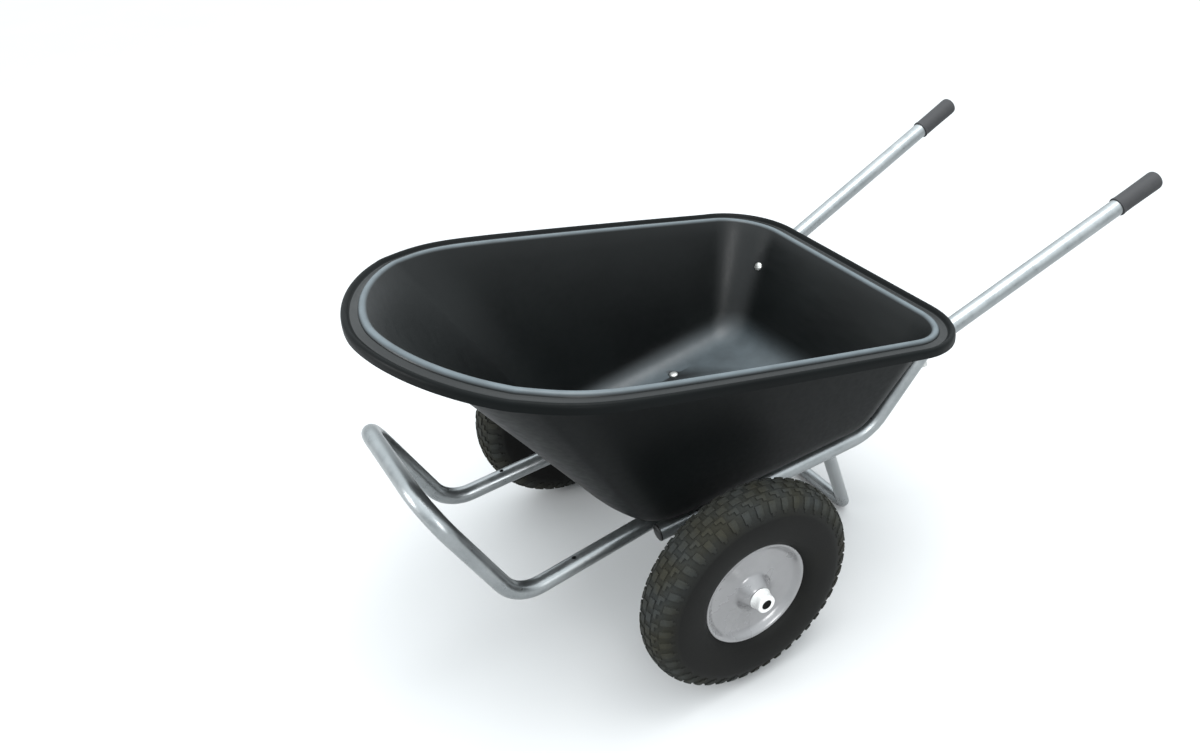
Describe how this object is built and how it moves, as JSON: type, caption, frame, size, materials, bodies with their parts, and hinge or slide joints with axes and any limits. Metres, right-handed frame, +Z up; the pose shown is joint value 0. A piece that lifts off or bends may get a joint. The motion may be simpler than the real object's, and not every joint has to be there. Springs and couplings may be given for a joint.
{
  "type": "wheelbarrow",
  "caption": "Wheelbarrow with a deep black poly tray, galvanised tube frame, front tipping hoop, rear stand and a pneumatic wheel on either side.",
  "frame": {"origin": "on the ground, under the middle of the whole barrow's box", "axes": "+X to the left-hand side seen from the handles, -Y towards the tray's nose, +Y towards the grips, +Z up"},
  "size_m": [0.78, 1.481, 0.7207],
  "materials": {
    "poly": "satin moulded black polyethylene",
    "galvanised": "galvanised tube, dull silver grey",
    "black_steel": "black paint",
    "black_plastic": "moulded black plastic",
    "grip": "matt dark grey rubber",
    "tyre": "dusty black tyre rubber with block tread",
    "rim": "silver grey paint",
    "hub": "bright zinc plate",
    "fastener": "bright zinc plate",
    "bush": "natural nylon"
  },
  "bodies": {
    "frame": {"axle": "galvanised", "axle_clip_left": "fastener", "axle_clip_right": "fastener", "axle_hanger_left": "black_steel", "axle_hanger_right": "black_steel", "axle_spacer_left": "galvanised", "axle_spacer_right": "galvanised", "cross_strap_front": "galvanised", "cross_strap_rear": "galvanised", "floor_bolt_left": "fastener", "floor_bolt_right": "fastener", "floor_nut_left": "fastener", "floor_nut_right": "fastener", "front_hoop": "galvanised", "grip_left": "grip", "grip_right": "grip", "handle_tube_left": "galvanised", "handle_tube_right": "galvanised", "hanger_bolt_front_left": "fastener", "hanger_bolt_front_right": "fastener", "hanger_bolt_rear_left": "fastener", "hanger_bolt_rear_right": "fastener", "hanger_nut_front_left": "fastener", "hanger_nut_front_right": "fastener", "hanger_nut_rear_left": "fastener", "hanger_nut_rear_right": "fastener", "hoop_plug_left": "black_plastic", "hoop_plug_right": "black_plastic", "rail_plug_left": "black_plastic", "rail_plug_right": "black_plastic", "rear_stand": "galvanised", "tray": "poly", "wall_bolt_left": "fastener", "wall_bolt_right": "fastener", "wall_nut_left": "fastener", "wall_nut_right": "fastener", "wall_spacer_left": "black_plastic", "wall_spacer_right": "black_plastic"},
    "wheel_left": {"bush_inner_left": "bush", "bush_outer_left": "bush", "disc_inner_left": "rim", "disc_outer_left": "rim", "hub_cap_left": "hub", "hub_left": "hub", "hub_plug_left": "black_plastic", "rim_barrel_left": "rim", "tyre_left": "tyre", "valve_stem_left": "black_plastic"},
    "wheel_right": {"bush_inner_right": "bush", "bush_outer_right": "bush", "disc_inner_right": "rim", "disc_outer_right": "rim", "hub_cap_right": "hub", "hub_plug_right": "black_plastic", "hub_right": "hub", "rim_barrel_right": "rim", "tyre_right": "tyre", "valve_stem_right": "black_plastic"}
  },
  "joints": [
    {"name": "wheel_left_spin", "type": "hinge", "parent": "frame", "child": "wheel_left", "pos_m": [0.329, -0.26565, 0.203], "axis": [1, 0, 0], "continuous": true},
    {"name": "wheel_right_spin", "type": "hinge", "parent": "frame", "child": "wheel_right", "pos_m": [-0.329, -0.26565, 0.203], "axis": [1, 0, 0], "continuous": true}
  ]
}
